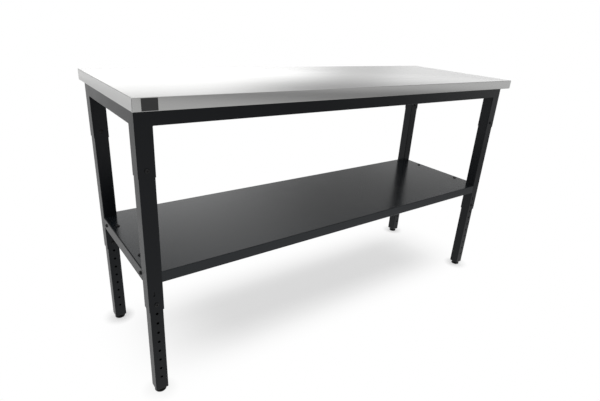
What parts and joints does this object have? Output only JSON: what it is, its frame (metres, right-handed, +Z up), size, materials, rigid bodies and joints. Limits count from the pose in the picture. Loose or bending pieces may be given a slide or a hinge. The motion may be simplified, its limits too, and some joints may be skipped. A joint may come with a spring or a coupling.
{
  "type": "assembly table",
  "caption": "Work table with a folded stainless top over a board, a black tube frame, a steel bottom shelf and telescoping legs on levelling feet.",
  "frame": {"origin": "on the floor under the middle of the worktop", "axes": "+X along the length to the right, +Y from the front to the back, +Z up"},
  "size_m": [1.8, 0.6, 1],
  "materials": {
    "worktop_steel": "fine brushed stainless steel, satin",
    "board": "raw fibreboard",
    "frame_black": "black powder coat, fine texture, satin",
    "shelf_grey": "dark grey powder coat, semi-gloss",
    "black_screw": "black-coated steel, satin",
    "zinc": "bright zinc plate",
    "black_plastic": "moulded black plastic"
  },
  "bodies": {
    "table": {"worktop_skin": "worktop_steel", "worktop_board": "board", "top_rail_front": "frame_black", "top_rail_back": "frame_black", "top_rail_left": "frame_black", "top_rail_right": "frame_black", "top_cross_rail": "frame_black", "gusset_front_left": "frame_black", "leg_sleeve_front_left": "frame_black", "sleeve_cap_front_left": "frame_black", "leg_post_front_left": "frame_black", "rail_bracket_front_left": "frame_black", "gusset_back_left": "frame_black", "leg_sleeve_back_left": "frame_black", "sleeve_cap_back_left": "frame_black", "leg_post_back_left": "frame_black", "rail_bracket_back_left": "frame_black", "gusset_front_right": "frame_black", "leg_sleeve_front_right": "frame_black", "sleeve_cap_front_right": "frame_black", "leg_post_front_right": "frame_black", "rail_bracket_front_right": "frame_black", "gusset_back_right": "frame_black", "leg_sleeve_back_right": "frame_black", "sleeve_cap_back_right": "frame_black", "leg_post_back_right": "frame_black", "rail_bracket_back_right": "frame_black", "shelf": "shelf_grey", "shelf_stiffener": "shelf_grey", "shelf_end_rail_left": "frame_black", "shelf_end_rail_right": "frame_black", "sleeve_screws": "black_screw", "sleeve_screw_nuts": "zinc", "lock_bolts": "black_screw", "lock_bolt_nuts": "black_screw", "shelf_screws": "black_screw", "shelf_screw_nuts": "zinc", "rail_screws": "black_screw", "rail_screw_nuts": "zinc", "worktop_screws": "zinc"},
    "sliding_leg_front_left": {"sliding_leg_front_left": "frame_black", "leg_plug_front_left": "black_plastic", "foot_lock_nut_front_left": "black_screw"},
    "foot_pad_front_left": {"foot_pad_front_left": "black_plastic"},
    "foot_stem_front_left": {"foot_stem_front_left": "black_screw"},
    "sliding_leg_back_left": {"sliding_leg_back_left": "frame_black", "leg_plug_back_left": "black_plastic", "foot_lock_nut_back_left": "black_screw"},
    "foot_pad_back_left": {"foot_pad_back_left": "black_plastic"},
    "foot_stem_back_left": {"foot_stem_back_left": "black_screw"},
    "sliding_leg_front_right": {"sliding_leg_front_right": "frame_black", "leg_plug_front_right": "black_plastic", "foot_lock_nut_front_right": "black_screw"},
    "foot_pad_front_right": {"foot_pad_front_right": "black_plastic"},
    "foot_stem_front_right": {"foot_stem_front_right": "black_screw"},
    "sliding_leg_back_right": {"sliding_leg_back_right": "frame_black", "leg_plug_back_right": "black_plastic", "foot_lock_nut_back_right": "black_screw"},
    "foot_pad_back_right": {"foot_pad_back_right": "black_plastic"},
    "foot_stem_back_right": {"foot_stem_back_right": "black_screw"}
  },
  "joints": [
    {"name": "leg_height_front_left", "type": "slide", "parent": "table", "child": "sliding_leg_front_left", "axis": [0, 0, 1], "range_m": [0, 0.219]},
    {"name": "foot_level_front_left", "type": "slide", "parent": "sliding_leg_front_left", "child": "foot_pad_front_left", "axis": [0, 0, 1], "range_m": [-0.02, 0.001]},
    {"name": "foot_screw_front_left", "type": "hinge", "parent": "foot_pad_front_left", "child": "foot_stem_front_left", "pos_m": [-0.872, -0.27, 0.03], "axis": [0, 0, 1], "range_deg": [-5761, 289]},
    {"name": "leg_height_back_left", "type": "slide", "parent": "table", "child": "sliding_leg_back_left", "axis": [0, 0, 1], "range_m": [0, 0.219]},
    {"name": "foot_level_back_left", "type": "slide", "parent": "sliding_leg_back_left", "child": "foot_pad_back_left", "axis": [0, 0, 1], "range_m": [-0.02, 0.001]},
    {"name": "foot_screw_back_left", "type": "hinge", "parent": "foot_pad_back_left", "child": "foot_stem_back_left", "pos_m": [-0.872, 0.206, 0.03], "axis": [0, 0, 1], "range_deg": [-5761, 289]},
    {"name": "leg_height_front_right", "type": "slide", "parent": "table", "child": "sliding_leg_front_right", "axis": [0, 0, 1], "range_m": [0, 0.219]},
    {"name": "foot_level_front_right", "type": "slide", "parent": "sliding_leg_front_right", "child": "foot_pad_front_right", "axis": [0, 0, 1], "range_m": [-0.02, 0.001]},
    {"name": "foot_screw_front_right", "type": "hinge", "parent": "foot_pad_front_right", "child": "foot_stem_front_right", "pos_m": [0.806, -0.27, 0.03], "axis": [0, 0, 1], "range_deg": [-5761, 289]},
    {"name": "leg_height_back_right", "type": "slide", "parent": "table", "child": "sliding_leg_back_right", "axis": [0, 0, 1], "range_m": [0, 0.219]},
    {"name": "foot_level_back_right", "type": "slide", "parent": "sliding_leg_back_right", "child": "foot_pad_back_right", "axis": [0, 0, 1], "range_m": [-0.02, 0.001]},
    {"name": "foot_screw_back_right", "type": "hinge", "parent": "foot_pad_back_right", "child": "foot_stem_back_right", "pos_m": [0.806, 0.206, 0.03], "axis": [0, 0, 1], "range_deg": [-5761, 289]}
  ],
  "couplings": [
    {"joint": "foot_screw_front_left", "follows": "foot_level_front_left", "rad_per_m": 5026.5},
    {"joint": "foot_screw_back_left", "follows": "foot_level_back_left", "rad_per_m": 5026.5},
    {"joint": "foot_screw_front_right", "follows": "foot_level_front_right", "rad_per_m": 5026.5},
    {"joint": "foot_screw_back_right", "follows": "foot_level_back_right", "rad_per_m": 5026.5}
  ]
}
